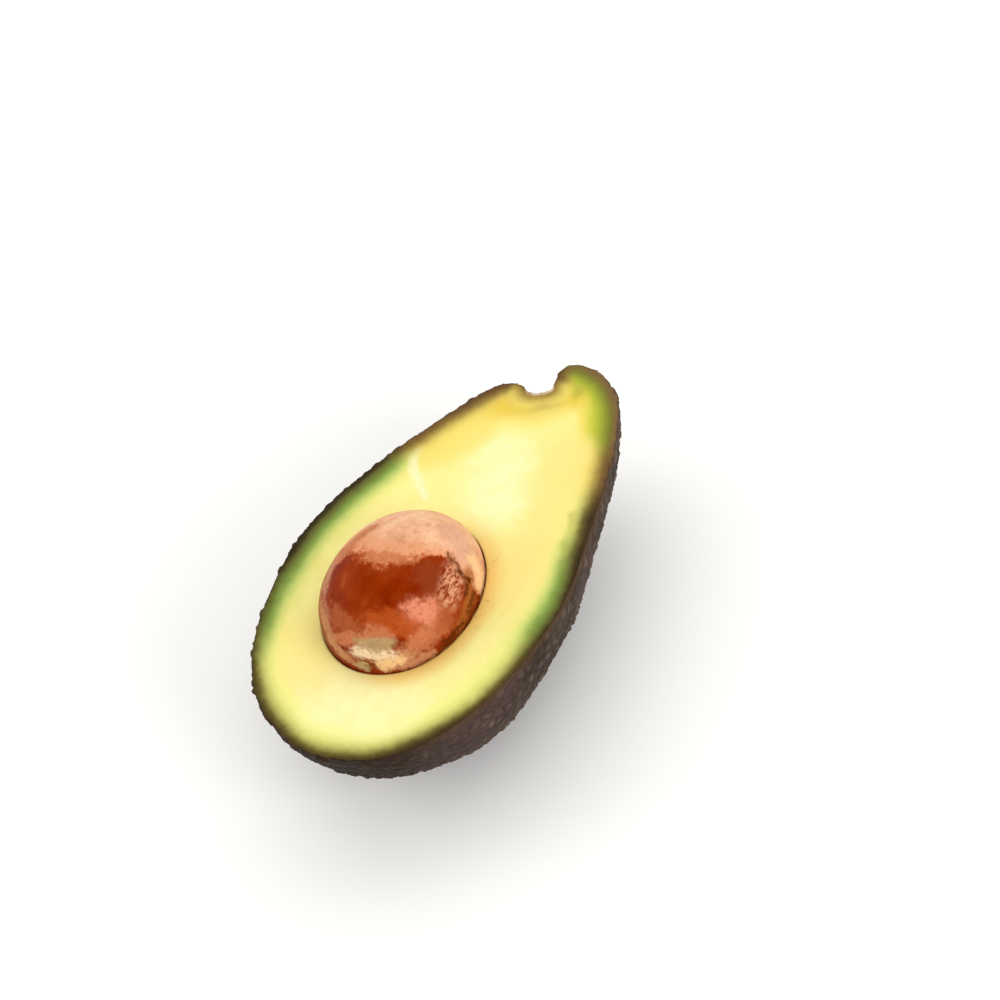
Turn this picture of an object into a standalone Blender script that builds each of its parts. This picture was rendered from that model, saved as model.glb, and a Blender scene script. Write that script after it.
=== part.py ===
"""Half of a pear-shaped avocado with dark pebbled skin, cut lengthwise and lying on its back with the seed in place.

Three pieces: the peel, the flesh inside it with a pocket, and the seed that sits loose in the pocket.
The fruit is drawn about its middle, with the cut face in the plane z = 0, the blossom end at -Y and the stem end
at +Y. Each object is then moved so that the fruit stands on z = 0 with its bounding box centred on the origin.
All sizes are in metres.
"""

import math

import bmesh
import bpy
from mathutils import Vector, noise

# The outline of the cut face, as pairs of points on its left and right side, from the blossom end to the stem scar.
# The right side runs over the shoulder of the neck and down into the dimple that the stem left.
OUTLINE = (
    ((0.0000, -0.0500), (0.0000, -0.0500)),
    ((-0.0082, -0.0482), (0.0084, -0.0484)),
    ((-0.0162, -0.0438), (0.0164, -0.0444)),
    ((-0.0230, -0.0358), (0.0230, -0.0362)),
    ((-0.0277, -0.0250), (0.0272, -0.0250)),
    ((-0.0306, -0.0120), (0.0290, -0.0116)),
    ((-0.0298, 0.0004), (0.0282, 0.0012)),
    ((-0.0264, 0.0124), (0.0248, 0.0134)),
    ((-0.0218, 0.0240), (0.0208, 0.0254)),
    ((-0.0176, 0.0334), (0.0170, 0.0354)),
    ((-0.0145, 0.0385), (0.0118, 0.0442)),
    ((-0.0124, 0.0401), (0.0056, 0.0490)),
    ((-0.0106, 0.0406), (-0.0009, 0.0498)),
    ((-0.0092, 0.0404), (-0.0039, 0.0476)),
    ((-0.0082, 0.0399), (-0.0039, 0.0446)),
    ((-0.0073, 0.0396), (-0.0032, 0.0419)),
    ((-0.0053, 0.0400), (-0.0053, 0.0400)),
)
BACK_DEPTH = 1.0  # how deep the back is, as a share of the half-width at the same place
BLOSSOM_END_DEPTH = 0.85  # the same share at the blossom end, which is flatter
BLOSSOM_END_REACH = 0.42  # how far up the outline the flatter end reaches, as a share of it
FLANK_SWELL = 0.065  # how much fuller the flanks of the belly are than an ellipse
FLANK_START = 0.12  # where the fuller flanks begin, as a share of the outline
FLANK_MIDDLE = 0.25  # where they are fullest
FLANK_END = 0.35  # and where they end

PEEL_THICKNESS = 0.0016
PEBBLE_SIZE = 0.0031
PEBBLE_HEIGHT = 0.0008
PEBBLE_SHOULDER = 0.55  # how far in from its furrow a pebble is rounded, as a share of its size
PEBBLE_UNEVENNESS = 0.35  # how much lower the lowest pebbles are than the highest, as a share of their height
FLAT_SPOT_DEPTH = 0.0010
FLAT_SPOT_RADIUS = 0.0090
WORN_RADIUS = 0.0150  # beyond this distance from the middle of the flat spot the pebbles have their full height
WORN_LEVEL = 0.0060  # and also at more than this height above it

SEED_CENTRE = Vector((-0.0018, -0.0127, 0.0))
SEED_RADIUS = 0.0153
SEED_HALF_LENGTH = 0.0185
SEED_TAPER = 0.02  # the seed narrows towards the stem end by this share
SEED_BASE_FLATTENING = 0.04  # the base is pushed in by this share of the half-length
SEED_BASE_START = 0.4  # where the flatter base begins, as a share of the half-length

FIT_GAP = 0.00035
SKIN_PITCH = 0.0018
LINING_PITCH = 0.0030
POCKET_PITCH = 0.0028
SEED_SUBDIVISIONS = 4
CURVE_SAMPLES = 600
SHARP_ANGLE = math.radians(50)

PEEL_COLOUR = (0.042, 0.029, 0.022, 1.0)
PEEL_ROUGHNESS = 0.55
FLESH_COLOUR = (0.86, 0.76, 0.27, 1.0)
FLESH_ROUGHNESS = 0.35
SEED_COLOUR = (0.33, 0.085, 0.022, 1.0)
SEED_ROUGHNESS = 0.25


def clear_scene():
    for obj in list(bpy.data.objects):
        bpy.data.objects.remove(obj)


def smooth_step(low, high, value):
    share = min(1.0, max(0.0, (value - low) / (high - low)))
    return share * share * (3.0 - 2.0 * share)


def through(points, station):
    """A point on the smooth curve through all but the first and last of the points, which only steer its ends."""
    index = min(int(station), len(points) - 4)
    share = station - index
    before, start, end, after = points[index:index + 4]
    slope_in = (end - before) * 0.5
    slope_out = (after - start) * 0.5
    square = share * share
    cube = square * share
    return (
        start * (2 * cube - 3 * square + 1)
        + slope_in * (cube - 2 * square + share)
        + end * (3 * square - 2 * cube)
        + slope_out * (cube - square)
    )


def outline_side(side):
    """One side of the outline, with an end point of the opposite side beyond each end, so that they meet smoothly."""
    points = [Vector((*pair[side], 0.0)) for pair in OUTLINE]
    opposite = [Vector((*pair[1 - side], 0.0)) for pair in OUTLINE]
    return [opposite[1], *points, opposite[-2]]


LEFT_SIDE = outline_side(0)
RIGHT_SIDE = outline_side(1)


def fruit_sides(share):
    """The left and right points of the cut outline, from 0 at the blossom end to 1 at the stem scar."""
    station = share * (len(OUTLINE) - 1)
    return through(LEFT_SIDE, station), through(RIGHT_SIDE, station)


def fruit_section(share, angle):
    """How far across and down a point of the fruit's section lies, in half-widths, at a share of the outline."""
    depth = BLOSSOM_END_DEPTH + (BACK_DEPTH - BLOSSOM_END_DEPTH) * smooth_step(0.0, BLOSSOM_END_REACH, share)
    fuller = smooth_step(FLANK_START, FLANK_MIDDLE, share) * smooth_step(FLANK_END, FLANK_MIDDLE, share)
    swell = 1.0 + FLANK_SWELL * fuller * math.sin(2.0 * angle) ** 2
    return swell * math.cos(angle), swell * depth * math.sin(angle)


def seed_shape(point):
    """Turns a point of the unit ball into a point of the seed, about the seed's centre."""
    width = SEED_RADIUS * (1.0 - SEED_TAPER * point.y)
    base = SEED_BASE_FLATTENING * smooth_step(SEED_BASE_START, 1.0, -point.y)
    return Vector((width * point.x, SEED_HALF_LENGTH * (point.y + base), width * point.z))


def pocket_sides(share):
    """The left and right points of the pocket's rim, from 0 at the blossom end to 1 at the stem end."""
    across = math.sin(math.pi * share)
    along = -math.cos(math.pi * share)
    looser = 1.0 + FIT_GAP / SEED_RADIUS
    left = seed_shape(Vector((-across, along, 0.0))) * looser
    right = seed_shape(Vector((across, along, 0.0))) * looser
    return SEED_CENTRE + left, SEED_CENTRE + right


def pocket_section(share, angle):
    """The pocket is round all along, like the seed."""
    return math.cos(angle), math.sin(angle)


def spaced_shares(sides, pitch):
    """Shares from 0 to 1 between which the outline's longer side moves on by about the same distance."""
    travel = [0.0]
    old = sides(0.0)
    for step in range(1, CURVE_SAMPLES + 1):
        new = sides(step / CURVE_SAMPLES)
        travel.append(travel[-1] + max((new[0] - old[0]).length, (new[1] - old[1]).length))
        old = new
    rings = max(4, round(travel[-1] / pitch))
    shares = []
    step = 0
    for ring in range(rings + 1):
        wanted = travel[-1] * ring / rings
        while step < CURVE_SAMPLES - 1 and travel[step + 1] < wanted:
            step += 1
        part = (wanted - travel[step]) / (travel[step + 1] - travel[step])
        shares.append(min(1.0, (step + part) / CURVE_SAMPLES))
    return shares


def lace(mesh, near, far):
    """Fills the strip between two rows of points with triangles, by the shorter of the two next edges."""
    i = 0
    j = 0
    while i < len(near) - 1 or j < len(far) - 1:
        if j == len(far) - 1:
            near_is_next = True
        elif i == len(near) - 1:
            near_is_next = False
        else:
            near_is_next = (near[i + 1].co - far[j].co).length < (near[i].co - far[j + 1].co).length
        if near_is_next:
            mesh.faces.new((near[i], near[i + 1], far[j]))
            i += 1
        else:
            mesh.faces.new((near[i], far[j + 1], far[j]))
            j += 1


def half_shell(mesh, sides, section, pitch):
    """A bowl of rounded sections hung from an outline, as rows of points from one pole to the other."""
    shares = spaced_shares(sides, pitch * math.sqrt(0.75))
    rows = []
    for number, share in enumerate(shares):
        left, right = sides(share)
        middle = (left + right) * 0.5
        half = (right - left) * 0.5
        if number in (0, len(shares) - 1):
            rows.append([mesh.verts.new(middle)])
            continue
        count = max(4, round(math.pi * half.length / pitch))
        turns = [step / count for step in range(count + 1)]
        if number % 2:
            turns = [0.0] + [(step + 0.5) / count for step in range(count)] + [1.0]
        below = Vector((0.0, 0.0, -half.length))
        row = []
        for turn in turns:
            across, down = section(share, math.pi * turn)
            row.append(mesh.verts.new(middle + half * across + below * down))
        rows.append(row)
    for near, far in zip(rows, rows[1:]):
        lace(mesh, near, far)
    return rows


def flatten_rims(rows):
    """Rim points lie exactly in the plane of the cut."""
    for row in rows:
        row[0].co.z = 0.0
        row[-1].co.z = 0.0


def outward_normals(mesh, rows):
    """The outward direction at each point, which lies in the plane of the cut along the rim."""
    mesh.normal_update()
    normals = {}
    for row in rows:
        for vert in row:
            normal = vert.normal.copy()
            if vert in (row[0], row[-1]):
                normal.z = 0.0
            normals[vert] = normal.normalized()
    lowest = min((vert for row in rows for vert in row), key=lambda vert: vert.co.z)
    if normals[lowest].z > 0.0:
        normals = {vert: -normal for vert, normal in normals.items()}
    return normals


def sink(mesh, rows, depth):
    """Moves a shell inwards by the same depth everywhere."""
    for vert, normal in outward_normals(mesh, rows).items():
        vert.co -= normal * depth
    flatten_rims(rows)


def pebble(point):
    """The height of the skin's pebbles at a point, from 0 in a furrow to 1 on top of a pebble."""
    distances, centres = noise.voronoi(point / PEBBLE_SIZE)
    lump = smooth_step(0.0, PEBBLE_SHOULDER, distances[1] - distances[0])
    swell = 0.5 + 0.5 * noise.noise(point / (4.0 * PEBBLE_SIZE))
    return lump * (1.0 - PEBBLE_UNEVENNESS * swell)


def roughen(mesh, rows, rest):
    """Raises the pebbles, which are worn away round the point that the fruit rests on."""
    for vert, normal in outward_normals(mesh, rows).items():
        from_rest = (vert.co.xy - rest.xy).length
        above_rest = vert.co.z - rest.z
        whole = max(
            smooth_step(FLAT_SPOT_RADIUS, WORN_RADIUS, from_rest),
            smooth_step(0.5 * WORN_LEVEL, WORN_LEVEL, above_rest),
        )
        vert.co += normal * PEBBLE_HEIGHT * (pebble(vert.co) - 0.5) * whole
    flatten_rims(rows)


def resting_point(rows):
    """The lowest point of the back, raised to the height of the flat spot."""
    lowest = min((vert.co for row in rows for vert in row), key=lambda point: point.z)
    return lowest + Vector((0.0, 0.0, FLAT_SPOT_DEPTH))


def press_flat(rows, height):
    for row in rows:
        for vert in row:
            vert.co.z = max(vert.co.z, height)


def material(name, colour, roughness):
    made = bpy.data.materials.new(name)
    made.use_nodes = True
    shader = made.node_tree.nodes["Principled BSDF"]
    shader.inputs["Base Color"].default_value = colour
    shader.inputs["Roughness"].default_value = roughness
    shader.inputs["Metallic"].default_value = 0.0
    made.diffuse_color = colour
    return made


def finish(name, mesh, surface):
    """Turns the working mesh into a named object with its own material."""
    bmesh.ops.recalc_face_normals(mesh, faces=mesh.faces)
    data = bpy.data.meshes.new(name)
    mesh.to_mesh(data)
    mesh.free()
    data.materials.append(surface)
    data.shade_smooth()
    data.set_sharp_from_angle(angle=SHARP_ANGLE)
    obj = bpy.data.objects.new(name, data)
    bpy.context.scene.collection.objects.link(obj)
    return obj


def rim_band(mesh, outer, inner):
    """Joins two shells along the cut, on both sides of the fruit."""
    for side in (0, -1):
        lace(mesh, [row[side] for row in outer], [row[side] for row in inner])


def build_peel():
    """The dark skin: pebbled outside, smooth inside, open along the cut."""
    mesh = bmesh.new()
    outer = half_shell(mesh, fruit_sides, fruit_section, SKIN_PITCH)
    rest = resting_point(outer)
    roughen(mesh, outer, rest)
    press_flat(outer, rest.z)
    lining = bmesh.new()
    inner = half_shell(lining, fruit_sides, fruit_section, LINING_PITCH)
    sink(lining, inner, PEEL_THICKNESS)
    copied = {vert: mesh.verts.new(vert.co) for row in inner for vert in row}
    for face in lining.faces:
        mesh.faces.new([copied[vert] for vert in face.verts])
    rim_band(mesh, outer, [[copied[vert] for vert in row] for row in inner])
    lining.free()
    return finish("peel", mesh, material("peel", PEEL_COLOUR, PEEL_ROUGHNESS)), rest.z


def rim_edges(mesh, rows):
    """The edges of a shell's rim, from pole to pole on both sides."""
    edges = []
    for side in (0, -1):
        rim = [row[side] for row in rows]
        edges += [mesh.edges.get(pair) for pair in zip(rim, rim[1:])]
    return edges


def build_flesh():
    """The flesh fills the peel, and has a flat cut face with a pocket for the lower half of the seed."""
    mesh = bmesh.new()
    outer = half_shell(mesh, fruit_sides, fruit_section, LINING_PITCH)
    sink(mesh, outer, PEEL_THICKNESS + FIT_GAP)
    pocket = half_shell(mesh, pocket_sides, pocket_section, POCKET_PITCH)
    flatten_rims(pocket)
    edges = rim_edges(mesh, outer) + rim_edges(mesh, pocket)
    bmesh.ops.triangle_fill(mesh, use_beauty=True, edges=edges)
    return finish("flesh", mesh, material("flesh", FLESH_COLOUR, FLESH_ROUGHNESS))


def build_seed():
    """The seed is egg-shaped, with a flatter base towards the blossom end."""
    mesh = bmesh.new()
    bmesh.ops.create_icosphere(mesh, subdivisions=SEED_SUBDIVISIONS, radius=1.0)
    for vert in mesh.verts:
        vert.co = SEED_CENTRE + seed_shape(vert.co)
    return finish("seed", mesh, material("seed", SEED_COLOUR, SEED_ROUGHNESS))


def stand_on_ground(objects, height):
    """Moves the whole fruit so that it rests on z = 0, centred over the origin."""
    corners = [vert.co for obj in objects for vert in obj.data.vertices]
    middle = [(min(c[axis] for c in corners) + max(c[axis] for c in corners)) / 2 for axis in (0, 1)]
    for obj in objects:
        obj.location = (-middle[0], -middle[1], -height)


def main():
    clear_scene()
    peel, height = build_peel()
    flesh = build_flesh()
    seed = build_seed()
    stand_on_ground([peel, flesh, seed], height)


main()
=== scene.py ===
"""The looks of a halved avocado: a pebbled peel, moist flesh with a green edge, and a glossy brown seed.

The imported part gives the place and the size. Each of its nodes is replaced by a finer piece of the same form,
built about the fruit's middle with the cut face at z = 0 and then moved to where the node stands.
"""

import math

import bmesh
import bpy
import numpy as np
from mathutils import Matrix, Vector
from mathutils.geometry import delaunay_2d_cdt
from mathutils.kdtree import KDTree


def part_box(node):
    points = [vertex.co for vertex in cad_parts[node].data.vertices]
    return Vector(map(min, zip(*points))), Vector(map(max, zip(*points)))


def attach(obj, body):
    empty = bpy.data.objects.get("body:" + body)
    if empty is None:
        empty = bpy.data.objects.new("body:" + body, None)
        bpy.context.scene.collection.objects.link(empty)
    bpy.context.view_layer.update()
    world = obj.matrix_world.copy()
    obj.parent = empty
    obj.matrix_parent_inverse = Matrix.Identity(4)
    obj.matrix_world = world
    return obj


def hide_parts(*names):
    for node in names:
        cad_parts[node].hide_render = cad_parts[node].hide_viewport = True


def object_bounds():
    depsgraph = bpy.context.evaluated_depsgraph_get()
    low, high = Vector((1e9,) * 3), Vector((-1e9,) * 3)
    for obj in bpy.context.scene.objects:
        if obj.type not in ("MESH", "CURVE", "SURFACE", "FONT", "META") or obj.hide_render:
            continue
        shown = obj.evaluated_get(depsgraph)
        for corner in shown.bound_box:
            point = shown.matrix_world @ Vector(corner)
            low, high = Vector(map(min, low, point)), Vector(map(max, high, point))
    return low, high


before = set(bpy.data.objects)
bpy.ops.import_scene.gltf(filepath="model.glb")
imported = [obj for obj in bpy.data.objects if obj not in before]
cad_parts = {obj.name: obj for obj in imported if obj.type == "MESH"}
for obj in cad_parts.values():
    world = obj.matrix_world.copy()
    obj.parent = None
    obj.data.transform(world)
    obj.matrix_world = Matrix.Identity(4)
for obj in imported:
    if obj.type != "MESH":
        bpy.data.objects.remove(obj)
CAD_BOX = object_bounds()

MM = 0.001

# The outline of the cut face in millimetres, as pairs of points on its left and right side, from the blossom
# end to the stem scar. The right side runs over the shoulder of the neck and down into the stem's dimple.
OUTLINE = (
    ((0.0, -50.0), (0.0, -50.0)),
    ((-8.2, -48.2), (8.4, -48.4)),
    ((-16.2, -43.8), (16.4, -44.4)),
    ((-23.0, -35.8), (23.0, -36.2)),
    ((-27.7, -25.0), (27.2, -25.0)),
    ((-30.6, -12.0), (29.0, -11.6)),
    ((-29.8, 0.4), (28.2, 1.2)),
    ((-26.4, 12.4), (24.8, 13.4)),
    ((-21.8, 24.0), (20.8, 25.4)),
    ((-17.6, 33.4), (17.0, 35.4)),
    ((-14.5, 38.5), (11.8, 44.2)),
    ((-12.4, 40.1), (5.6, 49.0)),
    ((-10.6, 40.6), (-0.9, 49.8)),
    ((-9.2, 40.4), (-3.9, 47.6)),
    ((-8.2, 39.9), (-3.9, 44.6)),
    ((-7.3, 39.6), (-3.2, 41.9)),
    ((-5.3, 40.0), (-5.3, 40.0)),
)
BACK_DEPTH = 1.0
BLOSSOM_END_DEPTH = 0.85
BLOSSOM_END_REACH = 0.42
FLANK_SWELL = 0.065
FLANK_START = 0.12
FLANK_MIDDLE = 0.25
FLANK_END = 0.35

PEEL_THICKNESS = 1.6 * MM
SKIN_PITCH = 0.36 * MM
LINING_PITCH = 2.5 * MM
LIP_HEIGHT = 0.12 * MM
LIP_RINGS = 7
FLAT_SPOT_RADIUS = 9.0 * MM
WORN_RADIUS = 15.0 * MM
WORN_LEVEL = 6.0 * MM
STEM_SCAR = Vector((-5.4, 41.2, -0.6)) * MM
STEM_SCAR_REACH = 3.6 * MM

PEBBLE_SIZE = 2.3 * MM
PEBBLE_HEIGHT = 0.5 * MM
PEBBLE_SHOULDER = 0.62
PEBBLE_UNEVENNESS = 0.6
PEBBLE_WANDER = 0.9
GRAIN_SIZE = 0.95 * MM
GRAIN_HEIGHT = 0.16 * MM

FLESH_PITCH = 0.5 * MM
FLESH_SEAM = 0.01 * MM
POCKET_RINGS = 22
POCKET_LIP = 0.3 * MM
POCKET_LIP_RINGS = 5

SEED_CENTRE = Vector((-1.8, -12.7, 0.0)) * MM
SEED_RADIUS = 15.3 * MM
SEED_HALF_LENGTH = 18.5 * MM
SEED_TAPER = 0.02
SEED_BASE_FLATTENING = 0.04
SEED_BASE_START = 0.4
SEED_SUBDIVISIONS = 7
POCKET_GAP = 0.09 * MM

VIEW_AZIMUTH = math.radians(52.8)
VIEW_ELEVATION = math.radians(50.1)
VIEW_ROLL = math.radians(-23.4)
VIEW_DISTANCE = 624 * MM
VIEW_AIM = Vector((3.4, 14.8, 28.3)) * MM
LENS = 115
SENSOR_WIDTH = 36
LIGHT_LEVEL = 1.2
FLOOR_REACH = 20.0


def place_in_frame():
    """How far the fruit's middle lies from the origin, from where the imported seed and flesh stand."""
    seed_low, seed_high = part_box("seed")
    flesh_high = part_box("flesh")[1]
    return Vector((
        (seed_low.x + seed_high.x) / 2 - SEED_CENTRE.x,
        seed_high.y - SEED_HALF_LENGTH - SEED_CENTRE.y,
        flesh_high.z,
    ))


FRUIT_PLACE = place_in_frame()


# Node trees

def pick(sockets, key):
    """The socket with that number, identifier or name."""
    if isinstance(key, int):
        return sockets[key]
    for socket in sockets:
        if socket.identifier == key:
            return socket
    return sockets[key]


class Term:
    """A number in a node tree. Sums and products of terms add the Math nodes that work them out."""

    def __init__(self, tree, socket):
        self.tree = tree
        self.socket = socket

    def maths(self, operation, *others):
        return self.tree.node("ShaderNodeMath", {"operation": operation}, dict(enumerate((self, *others))))

    def __add__(self, other):
        return self.maths("ADD", other)

    def __radd__(self, other):
        return self.maths("ADD", other)

    def __mul__(self, other):
        return self.maths("MULTIPLY", other)

    def __rmul__(self, other):
        return self.maths("MULTIPLY", other)

    def __sub__(self, other):
        return self.maths("SUBTRACT", other)

    def __rsub__(self, other):
        return (self * -1.0) + other

    def __truediv__(self, other):
        return self.maths("DIVIDE", other)

    def __pow__(self, other):
        return self.maths("POWER", other)

    def step(self, low, high, start=0.0, end=1.0):
        """Goes smoothly from start to end as this number goes from low to high."""
        return self.tree.node(
            "ShaderNodeMapRange",
            {"interpolation_type": "SMOOTHSTEP"},
            {"Value": self, "From Min": low, "From Max": high, "To Min": start, "To Max": end},
        )

    def ramp(self, *stops):
        """A colour between the stops, each a place from 0 to 1 and a colour."""
        return self.tree.node("ShaderNodeValToRGB", {"stops": stops}, {"Fac": self}, "Color")


class Tree:
    """Builds a node tree, one node for each call."""

    def __init__(self, tree):
        self.tree = tree

    def node(self, kind, settings=None, values=None, output=0):
        """Adds a node with its settings, fills its sockets with values or links, and gives its output."""
        made = self.tree.nodes.new(kind)
        for name, value in (settings or {}).items():
            if name == "stops":
                self.set_stops(made.color_ramp, value)
            else:
                setattr(made, name, value)
        for key, value in (values or {}).items():
            socket = pick(made.inputs, key)
            if isinstance(value, Term):
                self.tree.links.new(value.socket, socket)
            else:
                socket.default_value = value
        if isinstance(output, tuple):
            return [Term(self, pick(made.outputs, key)) for key in output]
        return Term(self, pick(made.outputs, output))

    @staticmethod
    def set_stops(ramp, stops):
        while len(ramp.elements) > 1:
            ramp.elements.remove(ramp.elements[-1])
        ramp.elements[0].position, ramp.elements[0].color = stops[0]
        for place, colour in stops[1:]:
            ramp.elements.new(place).color = colour

    def vector(self, operation, first, second=(0.0, 0.0, 0.0), scale=1.0):
        values = {0: first, 1: second, "Scale": scale}
        output = "Value" if operation in ("LENGTH", "DISTANCE", "DOT_PRODUCT") else "Vector"
        return self.node("ShaderNodeVectorMath", {"operation": operation}, values, output)

    def blend(self, amount, first, second):
        """A colour between two."""
        return self.node(
            "ShaderNodeMix",
            {"data_type": "RGBA"},
            {"Factor_Float": amount, "A_Color": first, "B_Color": second},
            "Result_Color",
        )

    def noise(self, place, scale, detail=3.0, roughness=0.5, output="Fac"):
        values = {"Vector": place, "Scale": scale, "Detail": detail, "Roughness": roughness}
        return self.node("ShaderNodeTexNoise", {}, values, output)

    def cells(self, place, scale, feature="F1", output="Distance"):
        values = {"Vector": place, "Scale": scale}
        return self.node("ShaderNodeTexVoronoi", {"feature": feature}, values, output)

    def mark(self, name):
        """A number that the mesh holds at each point."""
        return self.node("ShaderNodeAttribute", {"attribute_name": name}, {}, "Fac")

    def from_line(self, place, start, end):
        """How far a place is from the straight line between two points."""
        run = Vector(end) - Vector(start)
        from_start = self.vector("SUBTRACT", place, start)
        if run.length == 0.0:
            return self.vector("LENGTH", from_start)
        aim = tuple(run.normalized())
        along = self.vector("DOT_PRODUCT", from_start, aim)
        held = self.node("ShaderNodeClamp", {}, {"Value": along, "Min": 0.0, "Max": run.length})
        return self.vector("DISTANCE", from_start, self.vector("SCALE", aim, scale=held))

    def patch(self, surface, place, start, end, reach, strength, hue, grit=1.0):
        """Lays a soft patch of a hue around the line between two points, broken up by a grit."""
        near = self.from_line(place, start, end).step(reach, 0.0) * grit
        return self.blend(near.step(0.0, 1.0, 0.0, strength), surface, colour(*hue))


def colour(red, green, blue):
    """A colour from 0 to 255, as a screen shows it in the studio's light, in a shader's linear values."""
    linear = []
    for value in (red, green, blue):
        share = value / 255
        bright = share / 12.92 if share <= 0.04045 else ((share + 0.055) / 1.055) ** 2.4
        linear.append(bright / LIGHT_LEVEL)
    return (*linear, 1.0)


def new_material(name, **constants):
    """A material with its shader, the tree to build in, and the sockets that are the same all over set."""
    made = bpy.data.materials.new(name)
    made.use_nodes = True
    shader = made.node_tree.nodes["Principled BSDF"]
    for key, value in constants.items():
        shader.inputs[key.replace("_", " ")].default_value = value
    return made, shader, Tree(made.node_tree)


def feed(tree, shader, **links):
    for key, term in links.items():
        tree.tree.links.new(term.socket, shader.inputs[key.replace("_", " ")])


def bump(tree, height, distance, strength=1.0):
    values = {"Height": height, "Distance": distance, "Strength": strength}
    return tree.node("ShaderNodeBump", {}, values, "Normal")


# Shape of the fruit

def smooth_step(low, high, value):
    share = np.clip((value - low) / (high - low), 0.0, 1.0)
    return share * share * (3.0 - 2.0 * share)


def outline_side(side):
    """One side of the outline, with a point of the other side beyond each end, so that they meet smoothly."""
    points = [pair[side] for pair in OUTLINE]
    opposite = [pair[1 - side] for pair in OUTLINE]
    return np.array([opposite[1], *points, opposite[-2]]) * MM


def through(points, stations):
    """Points on the smooth curve through all but the first and last of the given points."""
    index = np.minimum(stations.astype(int), len(points) - 4)
    share = (stations - index)[:, None]
    before, start, end, after = (points[index + step] for step in range(4))
    square = share * share
    cube = square * share
    return (
        start * (2 * cube - 3 * square + 1)
        + (end - before) * 0.5 * (cube - 2 * square + share)
        + end * (3 * square - 2 * cube)
        + (after - start) * 0.5 * (cube - square)
    )


LEFT_SIDE = outline_side(0)
RIGHT_SIDE = outline_side(1)


def fruit_sides(shares):
    stations = shares * (len(OUTLINE) - 1)
    return through(LEFT_SIDE, stations), through(RIGHT_SIDE, stations)


def spaced_shares(pitch):
    """Shares from 0 to 1 between which the outline's longer side moves on by about the same distance."""
    fine = np.linspace(0.0, 1.0, 4000)
    steps = [np.linalg.norm(np.diff(side, axis=0), axis=1) for side in fruit_sides(fine)]
    travel = np.concatenate([[0.0], np.cumsum(np.maximum(*steps))])
    rings = round(travel[-1] / pitch)
    return np.interp(np.linspace(0.0, travel[-1], rings + 1), travel, fine)


class Builder:
    """Collects points, faces and named numbers at the points, and makes a mesh of them."""

    def __init__(self, *marks):
        self.points = []
        self.faces = []
        self.creases = []
        self.marks = {name: [] for name in marks}

    def add(self, points, **values):
        """Adds a row of points with their marks, and gives their numbers."""
        first = len(self.points)
        self.points.extend(tuple(point) for point in points)
        for name, held in self.marks.items():
            value = values.get(name, 0.0)
            held.extend(np.broadcast_to(value, len(points)).tolist())
        return list(range(first, len(self.points)))

    def lace(self, near, near_turns, far, far_turns):
        """Fills the strip between two rows of points with triangles, keeping pace by their turns."""
        i = 0
        j = 0
        while i < len(near) - 1 or j < len(far) - 1:
            near_next = near_turns[i] + near_turns[i + 1] if i < len(near) - 1 else math.inf
            far_next = far_turns[j] + far_turns[j + 1] if j < len(far) - 1 else math.inf
            if near_next <= far_next:
                self.faces.append((near[i], near[i + 1], far[j]))
                i += 1
            else:
                self.faces.append((near[i], far[j + 1], far[j]))
                j += 1

    def join_loops(self, outer, inner):
        """Joins two closed loops with the same number of points by a band of quads."""
        for index, (a, b) in enumerate(zip(outer, inner)):
            after = (index + 1) % len(outer)
            self.faces.append((a, outer[after], inner[after], b))

    def close(self, loop, centre):
        for index, point in enumerate(loop):
            self.faces.append((point, loop[(index + 1) % len(loop)], centre))

    def mesh(self, name):
        made = bpy.data.meshes.new(name)
        made.from_pydata(self.points, [], self.faces)
        for mark, values in self.marks.items():
            made.attributes.new(mark, "FLOAT", "POINT").data.foreach_set("value", values)
        work = bmesh.new()
        work.from_mesh(made)
        work.verts.ensure_lookup_table()
        bmesh.ops.recalc_face_normals(work, faces=work.faces)
        for face in work.faces:
            face.smooth = True
        for loop in self.creases:
            for a, b in zip(loop, loop[1:] + loop[:1]):
                work.edges.get((work.verts[a], work.verts[b])).smooth = False
        work.to_mesh(made)
        work.free()
        made.update()
        return made


def fruit_section(share, angles):
    """How far across and down the section's points lie, in half-widths. The belly's flanks are fuller."""
    depth = BLOSSOM_END_DEPTH + (BACK_DEPTH - BLOSSOM_END_DEPTH) * smooth_step(0.0, BLOSSOM_END_REACH, share)
    fuller = smooth_step(FLANK_START, FLANK_MIDDLE, share) * smooth_step(FLANK_END, FLANK_MIDDLE, share)
    swell = 1.0 + FLANK_SWELL * fuller * np.sin(2.0 * angles) ** 2
    return swell * np.cos(angles), swell * depth * np.sin(angles)


def half_shell(builder, shares, pitch):
    """Rounded sections hung from the outline, laced into a bowl. Gives the rows of point numbers."""
    left, right = fruit_sides(shares)
    rows = []
    turns_of_rows = []
    for number, share in enumerate(shares):
        middle = np.append((left[number] + right[number]) / 2, 0.0)
        half = np.append((right[number] - left[number]) / 2, 0.0)
        width = np.linalg.norm(half)
        if number in (0, len(shares) - 1):
            turns = np.array([0.5])
            half = np.zeros(3)
            width = 0.0
        else:
            count = max(4, round(math.pi * width / pitch))
            turns = np.arange(count + 1) / count
            if number % 2:
                turns = np.concatenate([[0.0], (np.arange(count) + 0.5) / count, [1.0]])
        across, down = fruit_section(share, math.pi * turns[:, None])
        points = middle + half * across + np.array([0.0, 0.0, -width]) * down
        rows.append(builder.add(points))
        turns_of_rows.append(turns.tolist())
    for number in range(len(rows) - 1):
        builder.lace(rows[number], turns_of_rows[number], rows[number + 1], turns_of_rows[number + 1])
    return rows


def rim_of(rows):
    """The loop of points along the cut, up the right side and back down the left."""
    return [row[0] for row in rows] + [row[-1] for row in rows[-2:0:-1]]


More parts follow.
